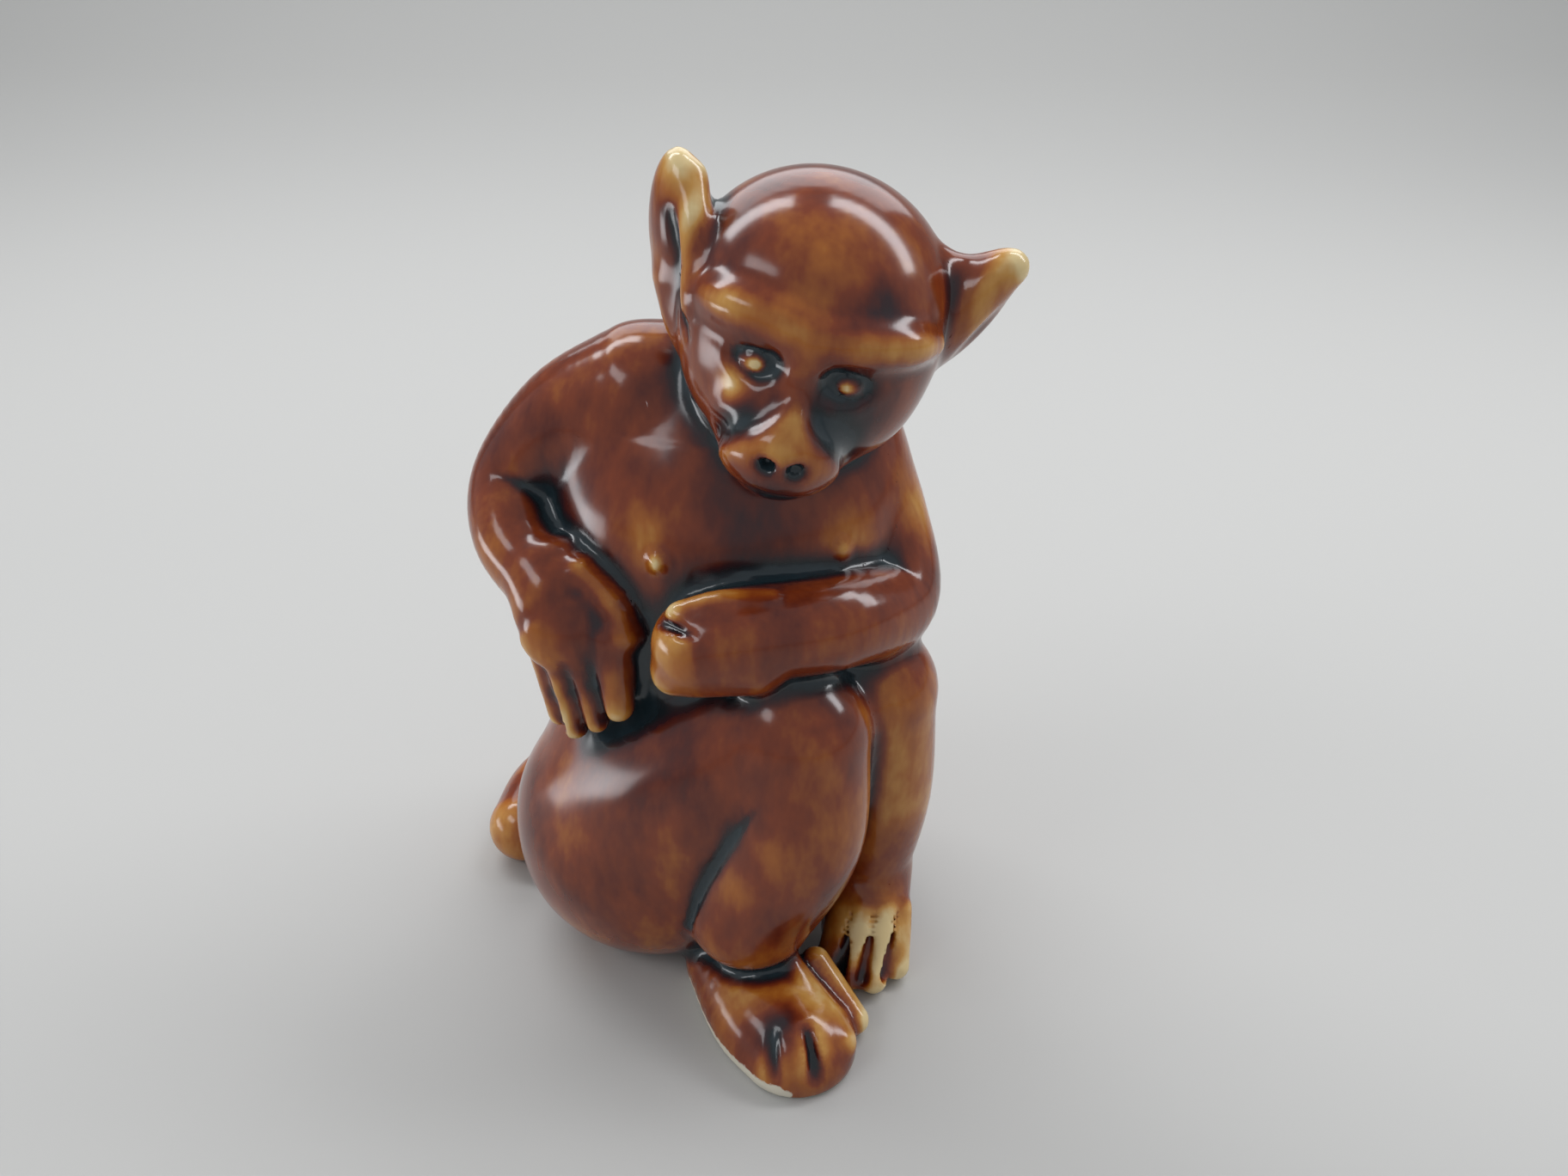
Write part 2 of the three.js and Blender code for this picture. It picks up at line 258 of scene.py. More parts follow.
for crease in (left_crease, right_crease):
    carve(head, limb(in_head(*crease)), 2.4)
mouth = [(-5.4, -16.4, -12.4, 0.3), (-0.4, -20.4, -12.0, 0.4), (5.0, -16.4, -12.4, 0.3)]
carve(head, limb(in_head(*mouth)), 1.2)
neck = [(9, 2, 80, 10), (7, 5, 74, 10)]
add(head, limb(neck), 5)

# ---------------------------------------------------------------------------------------------
# Ears: two upright leaves pressed between finger and thumb and luted to the sides of the skull. The
# right one has a rolled lip in front, and the left one is dished.
# ---------------------------------------------------------------------------------------------
right_ear = no_clay()
lean = turn("y", -12) @ turn("z", 25)
add(right_ear, head_egg((-15.9, 1.0, 3.6), (3.4, 5.0, 9.0), lean))
lobe = [(-15.0, -0.6, -1.0, 2.6), (-14.0, -2.0, -4.6, 2.0), (-12.6, -2.6, -7.0, 1.4)]
add(right_ear, limb(in_head(*lobe)), 2)
lip = [
    (-15.9, 0.2, 10.2, 1.6),
    (-14.6, -3.0, 7.4, 1.8),
    (-13.3, -5.5, 4.0, 1.6),
    (-12.7, -7.4, 0.4, 1.1),
]
add(right_ear, limb(in_head(*lip)), 0.8)
EAR_SLOT = in_head(  # the groove beside the lip, cut once the ear is on the head
    (-17.2, -3.2, 7.2, 0.4),
    (-16.5, -4.2, 5.2, 0.9),
    (-15.5, -5.2, 2.6, 1.0),
    (-14.2, -6.7, -0.8, 0.9),
    (-12.6, -9.2, -2.6, 0.4),
)

left_ear = no_clay()
lean = turn("y", 20) @ turn("z", -25)
add(left_ear, head_egg((15.5, 1.0, 3.2), (2.8, 4.5, 8.0), lean))
crest = [(11.0, 1.6, 5.6, 3.4), (14.8, 1.4, 6.8, 2.5), (18.6, 0.8, 9.6, 1.5)]
add(left_ear, limb(in_head(*crest)), 2)
dish = head_egg((18.6, -1.6, 0.6), (2.4, 2.6, 7.4), lean)
carve(left_ear, dish, 0.7)

# ---------------------------------------------------------------------------------------------
# Right arm: bent outwards at the elbow, with the hand and four fingers laid on the thigh.
# ---------------------------------------------------------------------------------------------
right_arm = no_clay()
upper = [(-8, 6, 76.6, 8.8), (-17, 7, 72.6, 7.4), (-24.3, 5.8, 65.6, 5.7)]
fore = [(-24.0, -0.5, 61.0, 5.1), (-18.9, -7, 57.3, 4.7)]
add(right_arm, limb(upper + fore, 8))
hand = [(-18.1, -7.2, 58.0, 5.2), (-16.2, -9.3, 54.4, 6.8)]
BACK_OF_HAND = (0.2, -1, 0.35)
add(right_arm, limb(hand, 4, squeeze=(BACK_OF_HAND, 0.62)), 2)
FINGERS = [
    ((-12.1, -10.7, 53.2, 2.9), (-11.3, -12.4, 44.3, 2.0)),
    ((-15.9, -12.0, 52.6, 1.6), (-14.3, -11.3, 41.4, 1.6)),
    ((-18.4, -11.7, 51.6, 1.7), (-17.2, -9.9, 39.4, 1.6)),
    ((-20.4, -9.4, 51.6, 1.8), (-19.4, -7.9, 39.8, 1.4)),
]
for knuckle, tip in FINGERS:
    add(right_arm, limb([knuckle, tip], 2), 0.6)
CREASES = [
    ((-14.7, -14.0, 52.9, 0.3), (-14.0, -13.5, 47.6, 0.6), (-13.1, -13.0, 41.8, 0.7)),
    ((-17.2, -13.8, 50.8, 0.3), (-16.7, -12.9, 46.0, 0.6), (-16.0, -11.9, 39.8, 0.7)),
    ((-19.9, -12.3, 49.6, 0.3), (-19.3, -11.2, 44.4, 0.6), (-18.6, -10.2, 39.6, 0.7)),
]
for crease in CREASES:
    carve(right_arm, limb(crease, 3), 0.6)
thumb = [(-15.2, -8.6, 60.6, 1.6), (-11.6, -10.6, 57.4, 1.8), (-9.9, -11.4, 53.8, 1.8)]
add(right_arm, limb(thumb, 3), 1.6)
thumb_crease = [(-12.9, -13.2, 56.4, 0.3), (-11.9, -13.9, 54.2, 0.4)]
carve(right_arm, limb(thumb_crease, 2), 0.6)

# ---------------------------------------------------------------------------------------------
# Left arm: the forearm folded across the belly, ending in a loose fist beside the right hand.
# ---------------------------------------------------------------------------------------------
left_arm = no_clay()
shoulder = [(14, 5, 70.5, 8.6), (19.5, 3, 62, 6.6), (21.2, -3, 54.2, 6.2)]
across = [(14.5, -12, 55.8, 5.6), (4, -16.2, 56.6, 5.5), (-1.1, -16.8, 55.8, 5.3)]
add(left_arm, limb(shoulder + across, 8))
curled_fingers = [(-3.9, -16.7, 52.0, 2.7), (5, -17.6, 53.2, 3.2)]
add(left_arm, limb(curled_fingers, 3), 2.0)
thumb = [(-3.0, -17.4, 60.0, 1.5), (1.5, -17.0, 61.2, 1.5), (7, -16.2, 61.0, 1.3)]
add(left_arm, limb(thumb, 4), 0.9)
thumb_crease = [(-6.2, -16.6, 59.0, 0.6), (-1.4, -21.0, 59.6, 0.5)]
carve(left_arm, limb(thumb_crease, 2), 0.6)

# ---------------------------------------------------------------------------------------------
# Legs: the right one is a heavy haunch with the knee raised and the shin folded back under it, and
# the left one stands behind it.
# ---------------------------------------------------------------------------------------------


def blurred(field, width):
    """The field averaged under a bell curve of the given width in mm, along each axis in turn."""
    count = int(math.ceil(2.5 * width / STEP))
    weights = np.exp(-0.5 * (np.arange(-count, count + 1) * STEP / width) ** 2)
    weights /= weights.sum()
    for axis in range(3):
        padding = [(count, count) if i == axis else (0, 0) for i in range(3)]
        padded = np.pad(field, padding, mode="edge")
        total = np.zeros_like(field)
        for i, weight in enumerate(weights):
            cut = [slice(None)] * 3
            cut[axis] = slice(i, i + field.shape[axis])
            total += np.float32(weight) * padded[tuple(cut)]
        field = total
    return field


SPONGE = 1.2  # mm, how wide a wet sponge smooths the haunch
right_leg = no_clay()
add(right_leg, limb([(-10, -1, 19, 17.2), (-1.8, -6.4, 30.0, 14.3), (8.8, -13, 42, 9.3)], 10))
add(right_leg, limb([(-12, 3, 16, 15), (0, -7, 16, 11)], 8), 6)  # underside of the thigh
add(right_leg, egg((-9, 1, 11), (16.5, 15.5, 13.5)), 5)  # where it rests on the ground
add(right_leg, egg((-12.5, 3, 34), (8.5, 9, 9)), 6)  # where it meets the flank
right_leg = blurred(right_leg, SPONGE)
shin = no_clay()
add(shin, limb([(10.3, -14.5, 41.5, 8.6), (9.4, -16, 28, 9.0), (4.2, -15.3, 15.4, 8.5)], 10))
right_leg = soft_min(right_leg, shin, 1.5)
CALF_CREASE = [
    (4.9, -22.8, 36.4, 0.2),
    (2.2, -21.5, 31.0, 0.4),
    (-0.1, -20.5, 25.8, 0.5),
    (-2.2, -19.9, 20.4, 0.5),
    (-3.7, -19.1, 14.5, 0.5),
]
carve(right_leg, limb(CALF_CREASE), 0.7)

left_leg = no_clay()
add(left_leg, limb([(8, 8, 20, 15), (14, 0, 33, 11), (19.5, -5, 43, 7.8)], 8))
shin = no_clay()
add(shin, limb([(20.5, -6, 42, 7), (21.3, -5, 26, 6.6), (19.8, -4, 11, 5.6)], 8))
left_leg = soft_min(left_leg, shin, 1.5)

# ---------------------------------------------------------------------------------------------
# Feet: flat-soled paddles with toes as low ridges. The right foot points forwards and has two toes
# folded along its inner side.
# ---------------------------------------------------------------------------------------------
UPWARDS = (0, 0, 1)
right_foot = no_clay()
paddle = [(1.8, -13, 2.6, 6.6), (6.5, -21, 2.2, 8.0), (10.1, -26, 1.6, 7.6)]
add(right_foot, limb(paddle, 5, squeeze=(UPWARDS, 0.85)))
side_toes = [
    ((9.0, -19.2, 7.9, 2.0), (15.6, -27.6, 3.6, 2.0)),
    ((12.6, -17.2, 6.6, 2.0), (17.6, -22.9, 2.2, 1.9)),
]
for toe in side_toes:
    add(right_foot, limb(toe, 2), 0.8)
front_cuts = [
    ((7.2, -29.0, 7.4, 0.4), (7.0, -33.6, 3.2, 0.9)),
    ((11.4, -29.0, 7.2, 0.4), (12.6, -33.4, 3.4, 0.9)),
]
for cut in front_cuts:
    carve(right_foot, limb(cut, 2), 0.9)

left_foot = no_clay()
add(left_foot, limb([(20.3, -4.0, 11.0, 5.8), (19.6, -9.2, 5.0, 6.0)], 4))
TOES = [
    ((16.8, -9.6, 9.0, 1.7), (14.4, -13.4, 3.0, 1.8)),
    ((19.2, -10.6, 9.4, 1.9), (17.3, -15.4, 2.2, 2.0)),
    ((21.8, -10.6, 9.2, 1.9), (20.4, -15.9, 2.1, 2.0)),
    ((24.2, -9.2, 8.4, 1.7), (23.6, -13.6, 2.1, 1.9)),
]
for toe in TOES:
    add(left_foot, limb(toe, 2), 0.9)
TOE_GAPS = []
for toe, next_toe in zip(TOES[:-1], TOES[1:]):
    start, stop = (np.array(toe) + np.array(next_toe)) / 2
    start = (*(start[:3] + [0, -1.4, 0.2]), 0.5)
    stop = (*(stop[:3] + [0, -1.5, 0.9]), 0.9)
    TOE_GAPS.append((start, stop))
    carve(left_foot, limb([start, stop], 2), 0.6)

# ---------------------------------------------------------------------------------------------
# Tail: a plain roll of clay that leaves the seat at the back and lies round the right haunch.
# ---------------------------------------------------------------------------------------------
tail = no_clay()
roll = [(-6, 27, 11, 6), (-18, 28, 7.5, 5.8), (-28, 21, 5.8, 5.6), (-30.8, 11.5, 5.1, 5.3)]
add(tail, limb(roll, 8))

# ---------------------------------------------------------------------------------------------
# Luting: each section is pressed on with liquid clay, which leaves a small fillet in the joint.
# The sole is then rubbed flat, and the slip is poured out through a hole, which leaves the hollow.
# ---------------------------------------------------------------------------------------------
SECTIONS = {
    # the field of each section, and how wide the fillet is where it is luted on, in mm
    "torso": (torso, 0.0),
    "head": (head, 2.0),
    "right_ear": (right_ear, 1.6),
    "left_ear": (left_ear, 1.6),
    "right_arm": (right_arm, 2.0),
    "left_arm": (left_arm, 2.0),
    "right_leg": (right_leg, 2.4),
    "left_leg": (left_leg, 2.4),
    "right_foot": (right_foot, 1.6),
    "left_foot": (left_foot, 1.6),
    "tail": (tail, 1.6),
}
clay = no_clay()
owner = np.zeros(BLOCK, np.int8)  # the number of the section that each point belongs to
nearest = no_clay() + 1
for number, (field, fillet) in enumerate(SECTIONS.values()):
    clay = soft_min(clay, field, fillet)
    owner[field < nearest] = number
    nearest = np.minimum(nearest, field)
carve(clay, limb(EAR_SLOT), 0.8)

WALL = 4.0  # mm, thickness of the cast
FLOOR_OF_SKULL = 82.0  # mm, height at which the head's own hollow starts
RUBBED_EDGE = 0.8  # mm, rounding round the sole and inside the wall
height = AXES[2][None, None, :]
outside = soft_max(clay, -height, RUBBED_EDGE)
hollow = np.maximum(torso + WALL, WALL - height)
hollow = np.minimum(hollow, np.maximum(head + WALL, FLOOR_OF_SKULL - height))
neck_vent = [(9, 2.5, 60, 3.5), (9, 2.5, 88, 3.5)]
add(hollow, limb(neck_vent, 1), 1.5)
drain_hole = [(-2, 12, -4, 5.0), (-2, 12, 8, 5.0)]
add(hollow, limb(drain_hole, 1), 1.0)
whole = soft_max(outside, -hollow, RUBBED_EDGE)

# ---------------------------------------------------------------------------------------------
# Skin: the surface of the one fired body, with the joints between its sections drawn through the
# wall, so that each section can be lifted off by itself.
# ---------------------------------------------------------------------------------------------


def take_off_skin(field, owner):
    """Finds one vertex in each cell of the block that a surface passes through, and one four-sided
    face across each edge of the block whose ends belong to different owners. The vertex is the mean
    of the places where the field changes sign on the cell's edges.
    Returns the vertices, the faces, and the owners on the two sides of each face (0 is air)."""
    kind = np.where(field < 0, owner + 1, 0).astype(np.int8)
    size = np.array(kind.shape)
    cells = size - 1
    faces, behind, ahead = [], [], []
    for a in range(3):
        b, c = (a + 1) % 3, (a + 2) % 3
        first = [slice(None)] * 3
        second = [slice(None)] * 3
        first[a], second[a] = slice(0, -1), slice(1, None)
        start = np.argwhere(kind[tuple(first)] != kind[tuple(second)])
        inner = (start[:, b] > 0) & (start[:, c] > 0)
        start = start[inner & (start[:, b] < size[b] - 1) & (start[:, c] < size[c] - 1)]
        stop = start.copy()
        stop[:, a] += 1
        corners = []
        for back_b, back_c in ((0, 0), (1, 0), (1, 1), (0, 1)):
            cell = start.copy()
            cell[:, b] -= back_b
            cell[:, c] -= back_c
            corners.append(np.ravel_multi_index(cell.T, cells))
        faces.append(np.stack(corners, 1))
        behind.append(kind[tuple(start.T)])
        ahead.append(kind[tuple(stop.T)])
    faces, behind, ahead = np.vstack(faces), np.hstack(behind), np.hstack(ahead)
    used, faces = np.unique(faces, return_inverse=True)
    faces = faces.reshape(-1, 4)
    cell = np.stack(np.unravel_index(used, cells), 1)
    total = np.zeros((len(cell), 3))
    count = np.zeros(len(cell))
    for a in range(3):
        for db, dc in np.ndindex(2, 2):
            low = cell.copy()
            low[:, (a + 1) % 3] += db
            low[:, (a + 2) % 3] += dc
            high = low.copy()
            high[:, a] += 1
            f0, f1 = field[tuple(low.T)], field[tuple(high.T)]
            crosses = (f0 < 0) != (f1 < 0)
            share = np.where(crosses, f0 / np.where(crosses, f0 - f1, 1), 0)
            place = low.astype(float)
            place[:, a] += share
            total += place * crosses[:, None]
            count += crosses
    middle = cell + 0.5
    vertices = np.where(count[:, None] > 0, total / np.maximum(count, 1)[:, None], middle)
    return vertices * STEP + LOW, faces, behind, ahead


vertices, faces, behind, ahead = take_off_skin(whole, owner)
on_skin = (behind == 0) | (ahead == 0)


def neighbours_mean(values, edges):
    """The mean of each vertex's neighbours along the edges, and whether it has any."""
    total = np.zeros_like(values)
    count = np.zeros(len(values))
    for here, there in (edges.T, edges.T[::-1]):
        count += np.bincount(here, minlength=len(values))
        for axis in range(values.shape[1]):
            total[:, axis] += np.bincount(here, values[there, axis], len(values))
    return total / np.maximum(count, 1)[:, None], count > 0


def edges_of(quads):
    """Each edge of the faces once, as pairs of vertices."""
    pairs = np.vstack([quads[:, [i, (i + 1) % 4]] for i in range(4)])
    return np.unique(np.sort(pairs, 1), axis=0)


# The skin is smoothed in pairs of passes, in by one share and out by the other, so that it keeps
# its size. The joints are then smoothed, with their rims held on the skin.
SKIN_SHARES = (0.5, -0.52) * 4
JOINT_SHARES = (0.5,) * 6
skin_edges = edges_of(faces[on_skin])
for share in SKIN_SHARES:
    mean, touched = neighbours_mean(vertices, skin_edges)
    vertices[touched] += share * (mean - vertices)[touched]
all_edges = edges_of(faces)
in_joint = np.ones(len(vertices), bool)
in_joint[faces[on_skin]] = False
for share in JOINT_SHARES:
    mean, touched = neighbours_mean(vertices, all_edges)
    vertices[in_joint] += share * (mean - vertices)[in_joint]


def skin_normals(vertices, quads):
    """The area-weighted mean of the normals of the faces round each vertex."""
    a, b, c, d = (vertices[quads[:, i]] for i in range(4))
    face_normal = np.cross(c - a, d - b)
    total = np.zeros_like(vertices)
    for corner in range(4):
        for axis in range(3):
            total[:, axis] += np.bincount(quads[:, corner], face_normal[:, axis], len(vertices))
    return total / np.maximum(np.linalg.norm(total, axis=1), 1e-9)[:, None]


outward = np.where((ahead == 0)[:, None], faces, faces[:, ::-1])
normals = skin_normals(vertices, outward[on_skin])

# ---------------------------------------------------------------------------------------------
# Glaze: one transparent amber-brown glaze, dipped and fired. It runs off ridges until the cream
# clay shows through, and gathers in grooves until it turns blue-black. A few painted highlights on
# the right arm are laid into its depth as well.
# ---------------------------------------------------------------------------------------------


def at_points(field, points):
    """The value of a field between its points: a weighted mean of the eight around each place."""
    place = (points - LOW) / STEP
    corner = np.clip(np.floor(place).astype(int), 0, np.array(BLOCK) - 2)
    share = place - corner
    total = np.zeros(len(points))
    for step in np.ndindex(2, 2, 2):
        weight = np.prod(np.where(step, share, 1 - share), axis=1)
        i, j, k = (corner + step).T
        total += weight * field[i, j, k]
    return total


def bend_at(width):
    """How strongly the clay bends at each vertex, in 1/mm, seen over a width: positive on ridges."""
    change = at_points(blurred(clay, width) - clay, vertices)
    return 2 * change / width**2


def ramp_up(values, start, stop):
    """Nothing at start, everything at stop, in a straight line between."""
    return np.clip((values - start) / (stop - start), 0, 1)


# The coat thins on ridges and thickens in grooves. Each bend counts from a least value up to a full
# one, once for the fine relief and once for the broad.
EVEN_COAT = 0.5  # depth of the glaze on flat clay, where 0 is cream and 1 is blue-black
fine = bend_at(width=0.9)
broad = bend_at(width=2.2)
thin = 0.38 * ramp_up(fine, 0.22, 0.97) + 0.25 * ramp_up(broad, 0.18, 0.63)
thick = 0.34 * ramp_up(-fine, 0.04, 0.64) + 0.44 * ramp_up(-broad, 0.03, 0.39)
glaze_depth_and_painted_highlights = EVEN_COAT - thin + thick

# Where the glaze ran thinner or thicker by chance, and where a painted highlight is laid on the right
# arm: x, y, z, reach in mm, change in depth.
GLAZE_RUNS_AND_PAINTED_HIGHLIGHTS = in_head(
    (-0.2, -18.4, -4.4, 2.6, -0.22),  # bridge of the nose
    (-4.4, -19.0, -7.0, 2.6, -0.12),  # right side of the nose
    (3.6, -18.6, -8.6, 2.2, -0.1),  # left side of the nose
    (-1.6, -19.8, -7.8, 1.3, 0.3),  # nostrils
    (1.6, -19.8, -7.8, 1.3, 0.3),
    (-0.4, -18.6, -9.0, 6.0, 0.12),  # muzzle
    (-0.2, -20.6, -10.8, 5.0, 0.4),  # mouth
    (4.4, -16.5, -4.6, 2.4, 0.4),  # creases beside the muzzle
    (6.6, -15.0, -6.8, 2.6, 0.4),
    (-5.0, -17.2, -5.0, 2.0, 0.4),
    (-6.4, -16.0, -7.0, 2.0, 0.3),
    (-5.0, -14.4, -0.2, 3.0, 0.22),  # eye sockets
    (4.8, -14.4, -0.2, 3.8, 0.24),
    (-4.9, -14.6, -0.5, 1.0, -0.85),  # eyes
    (4.3, -14.6, -0.5, 1.0, -0.7),
    (-6.8, -14.4, -3.2, 2.2, -0.5),  # pouch under the right eye
    (7.5, -12.6, -3.5, 5.0, 0.22),  # left cheek
    (-3.0, -12.8, 4.6, 3.6, -0.14),  # brow
    (6, -11, 7.5, 3.2, 0.3),
    (-0.5, -12.0, 9.0, 11.0, -0.07),  # forehead
    (-14.2, -3.0, 8.0, 2.6, -0.34),  # lip of the right ear
    (-12.9, -6.4, 4.0, 2.2, -0.2),
    (-16.4, -1.0, 11.0, 5.0, -0.2),  # rim of the right ear
    (-18.0, -0.5, 2.0, 5.0, -0.14),
    (15.4, -3.0, 5.4, 4.4, -0.24),  # front of the left ear
)
GLAZE_RUNS_AND_PAINTED_HIGHLIGHTS += [
    (-6.9, -9.6, 65.5, 5.0, -0.2),  # breasts
    (14.8, -8.9, 65.0, 4.0, -0.22),
    (3, -11, 66, 9.0, 0.08),  # under the chin
    (-23.5, -5, 61, 6.0, -0.18),  # right elbow, painted highlight on its lit outer side
    (-21, -8, 57, 5.0, -0.14),  # right wrist, painted highlight
    (-20.8, -10, 52, 4.5, -0.16),  # back of the right hand, painted highlight along its lit edge
    (-16.0, -12.6, 44.5, 7.0, 0.12),  # fingers
    (26, 0, 64, 5.0, -0.2),  # left upper arm
    (-5.4, -19.0, 53.0, 4.0, -0.14),  # left knuckles
    (22, -13, 41, 9.0, -0.16),  # left knee
    (24, -11, 30, 12.0, -0.25),  # left shin
    (21, -12, 7, 8.0, -0.32),  # left toes
    (19.5, -15.5, 4, 5.0, -0.2),
    (-14, -12, 12, 9.0, -0.1),  # right haunch
    (6.5, -24, 31, 3.4, -0.14),  # right shin
    (2.1, -22.5, 25, 3.4, -0.2),
    (9.5, -18, 25, 5.0, 0.1),
    (6, -24, 6, 9.0, -0.2),  # right foot
    (1.7, -23.7, 7.2, 4.0, -0.16),
    (13.4, -24.6, 7.6, 5.0, -0.24),
    (7.8, -29.0, 7.0, 3.6, 0.42),
    (-33, 10, 7, 6.0, -0.15),  # tip of the tail
]
GLAZE_RUNS_AND_PAINTED_HIGHLIGHTS += [(x, y, z, 1.3, 0.08) for x, y, z, _ in CALF_CREASE[1:]]
GLAZE_RUNS_AND_PAINTED_HIGHLIGHTS += [(x, y, z, 1.6, 0.34) for x, y, z, _ in EAR_SLOT[:-1]]
GLAZE_RUNS_AND_PAINTED_HIGHLIGHTS += [(x, y, z, 1.5, 0.3) for crease in CREASES for x, y, z, _ in crease[1:]]
GLAZE_RUNS_AND_PAINTED_HIGHLIGHTS += [(x, y, z, 2.0, 0.4) for _, (x, y, z, _) in TOE_GAPS]
FADE = 0.6  # share of its reach at which a run has faded to about six tenths
# Each entry changes the depth of the glaze; the three on the right arm are painted highlights.
for x, y, z, reach, change in GLAZE_RUNS_AND_PAINTED_HIGHLIGHTS:
    away = ((vertices - np.array([x, y, z])) ** 2).sum(1)
    glaze_depth_and_painted_highlights += change * np.exp(-away / (2 * (reach * FADE) ** 2))

# The clay is bare where the glaze was wiped off: under the sole, and along the outer edge of the
# right foot. No glaze runs inside the cast either.
HEEL = np.array([1.8, -13.0])
OUTWARDS = np.array([-0.843, -0.538])
height, forwards = vertices[:, 2], -vertices[:, 1]
past_heel = (vertices[:, :2] - HEEL) @ OUTWARDS
under_sole = ramp_up(height, 0.45, 0.15)
inside_cast = ramp_up(-at_points(outside, vertices), 1.0, 2.0)
edge_of_foot = ramp_up(height, 2.7, 1.5) * ramp_up(past_heel, 3.6, 5.6) * ramp_up(forwards, 12.5, 15.0)
bare = np.maximum(np.maximum(under_sole, inside_cast), edge_of_foot)


def srgb(*channels):
    """A colour given in the usual 0 to 255 screen steps, as the shader's linear light."""
    steps = [channel / 255 for channel in channels]
    return (*[s / 12.92 if s < 0.04 else ((s + 0.055) / 1.055) ** 2.4 for s in steps], 1.0)


def glaze_material():
    """Depth of glaze, with the painted highlights on the right arm, picks the colour, from cream
    through amber and red-brown to blue-black.
    """
    made = bpy.data.materials.new("amber_glaze")
    made.use_nodes = True
    nodes, links = made.node_tree.nodes, made.node_tree.links
    shader = nodes["Principled BSDF"]
    depth = nodes.new("ShaderNodeAttribute")
    depth.attribute_name = "glaze_depth_and_painted_highlights"
    place = nodes.new("ShaderNodeTexCoord")

    def mottle(scale, stretch, detail, amount):
        """Noise about zero: scale is how many waves it has to the metre, and stretch slows it down
        along the fall of the glaze."""
        mapping = nodes.new("ShaderNodeMapping")
        mapping.inputs["Scale"].default_value = (scale, scale, scale * stretch)
        noise = nodes.new("ShaderNodeTexNoise")
        noise.inputs["Scale"].default_value = 1.0
        noise.inputs["Detail"].default_value = detail
        noise.inputs["Roughness"].default_value = 0.55
        centred = nodes.new("ShaderNodeMath")
        centred.operation = "MULTIPLY_ADD"
        centred.inputs[1].default_value = amount
        centred.inputs[2].default_value = -0.5 * amount
        links.new(place.outputs["Object"], mapping.inputs["Vector"])
        links.new(mapping.outputs["Vector"], noise.inputs["Vector"])
        links.new(noise.outputs["Fac"], centred.inputs[0])
        return centred.outputs[0]

    total = depth.outputs["Fac"]
    flows = mottle(scale=70, stretch=0.7, detail=2, amount=0.42)
    patches = mottle(scale=190, stretch=0.5, detail=3, amount=0.42)
    grain = mottle(scale=620, stretch=0.45, detail=2, amount=0.16)
    for part in (flows, patches, grain):
        adding = nodes.new("ShaderNodeMath")
        adding.operation = "ADD"
        links.new(total, adding.inputs[0])
        links.new(part, adding.inputs[1])
        total = adding.outputs[0]
    ramp = nodes.new("ShaderNodeValToRGB")
    stops = [
        (0.0, srgb(224, 198, 144)),  # cream
        (0.16, srgb(198, 144, 70)),  # honey
        (0.32, srgb(162, 92, 30)),  # amber
        (0.46, srgb(124, 52, 20)),  # red-brown
        (0.6, srgb(88, 30, 16)),
        (0.74, srgb(50, 24, 28)),  # plum
        (0.88, srgb(26, 32, 36)),  # blue-black
        (1.0, srgb(34, 47, 53)),
    ]
    ramp.color_ramp.elements[0].position = stops[0][0]
    ramp.color_ramp.elements[0].color = stops[0][1]
    ramp.color_ramp.elements[1].position = stops[-1][0]
    ramp.color_ramp.elements[1].color = stops[-1][1]
    for position, colour in stops[1:-1]:
        ramp.color_ramp.elements.new(position).color = colour
    links.new(total, ramp.inputs["Fac"])
    wiped = nodes.new("ShaderNodeAttribute")
    wiped.attribute_name = "bare"
    ragged = nodes.new("ShaderNodeMath")
    ragged.operation = "ADD"
    links.new(wiped.outputs["Fac"], ragged.inputs[0])
    links.new(mottle(scale=900, stretch=1.0, detail=3, amount=0.9), ragged.inputs[1])
    bisque = nodes.new("ShaderNodeMapRange")
    bisque.inputs["From Min"].default_value = 0.42
    bisque.inputs["From Max"].default_value = 0.58
    links.new(ragged.outputs[0], bisque.inputs["Value"])
    colour = nodes.new("ShaderNodeMix")
    colour.data_type = "RGBA"
    colour.inputs["B"].default_value = srgb(212, 204, 186)
    links.new(bisque.outputs["Result"], colour.inputs["Factor"])
    links.new(ramp.outputs["Color"], colour.inputs["A"])
    links.new(colour.outputs["Result"], shader.inputs["Base Color"])
    gloss = nodes.new("ShaderNodeMapRange")
    gloss.inputs["To Min"].default_value = 0.16
    gloss.inputs["To Max"].default_value = 0.75
    links.new(bisque.outputs["Result"], gloss.inputs["Value"])
    links.new(gloss.outputs["Result"], shader.inputs["Roughness"])
    shader.inputs["IOR"].default_value = 1.52
    return made


glaze = glaze_material()

